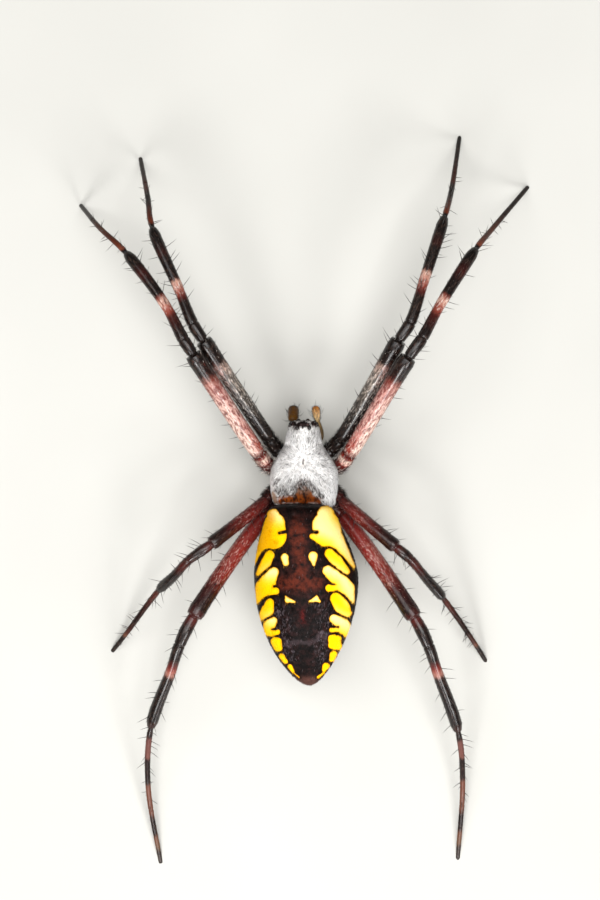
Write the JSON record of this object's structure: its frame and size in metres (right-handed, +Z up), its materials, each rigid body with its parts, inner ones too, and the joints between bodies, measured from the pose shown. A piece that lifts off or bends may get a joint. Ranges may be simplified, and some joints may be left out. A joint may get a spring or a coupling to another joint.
{
  "type": "yellow garden orb weaver spider",
  "caption": "Life-size female yellow garden spider, still, with its legs in a wide X: silver-haired carapace, long black and yellow abdomen and slender banded legs.",
  "frame": {"origin": "on the floor, under the middle of the ground that the feet cover", "axes": "+Z up, -Y towards the head, +X towards the animal's left side"},
  "size_m": [0.0461, 0.0744, 0.0136],
  "materials": {
    "silver_hair": "short silver-white hair lying flat on dark brown shell",
    "abdomen": "smooth satin skin, yellow patches on velvety dark brown",
    "dark_shell": "glossy near-black shell",
    "red_leg": "glossy dark red-brown and black bands with pale hair",
    "pale_leg": "satin pink-grey with dark specks and black ends",
    "feeler": "satin tan to dark olive",
    "eye": "polished black"
  },
  "bodies": {
    "root": {"abdomen": "abdomen", "breast_plate": "dark_shell", "carapace": "silver_hair", "eye_front_middle_l": "eye", "eye_front_middle_r": "eye", "eye_front_side_l": "eye", "eye_front_side_r": "eye", "eye_rear_middle_l": "eye", "eye_rear_middle_r": "eye", "eye_rear_side_l": "eye", "eye_rear_side_r": "eye", "fang_l": "dark_shell", "fang_r": "dark_shell", "feeler_l_thigh": "feeler", "feeler_l_tip": "feeler", "feeler_r_thigh": "feeler", "feeler_r_tip": "feeler", "jaw_l": "dark_shell", "jaw_r": "dark_shell", "leg_l1_coxa": "dark_shell", "leg_l1_foot": "dark_shell", "leg_l1_shin": "red_leg", "leg_l1_thigh": "pale_leg", "leg_l2_coxa": "dark_shell", "leg_l2_foot": "dark_shell", "leg_l2_shin": "red_leg", "leg_l2_thigh": "pale_leg", "leg_l3_coxa": "dark_shell", "leg_l3_foot": "dark_shell", "leg_l3_shin": "red_leg", "leg_l3_thigh": "red_leg", "leg_l4_coxa": "dark_shell", "leg_l4_foot": "dark_shell", "leg_l4_shin": "red_leg", "leg_l4_thigh": "red_leg", "leg_r1_coxa": "dark_shell", "leg_r1_foot": "dark_shell", "leg_r1_shin": "red_leg", "leg_r1_thigh": "pale_leg", "leg_r2_coxa": "dark_shell", "leg_r2_foot": "dark_shell", "leg_r2_shin": "red_leg", "leg_r2_thigh": "pale_leg", "leg_r3_coxa": "dark_shell", "leg_r3_foot": "dark_shell", "leg_r3_shin": "red_leg", "leg_r3_thigh": "red_leg", "leg_r4_coxa": "dark_shell", "leg_r4_foot": "dark_shell", "leg_r4_shin": "red_leg", "leg_r4_thigh": "red_leg", "spinnerets": "dark_shell", "waist": "dark_shell"}
  },
  "joints": []
}
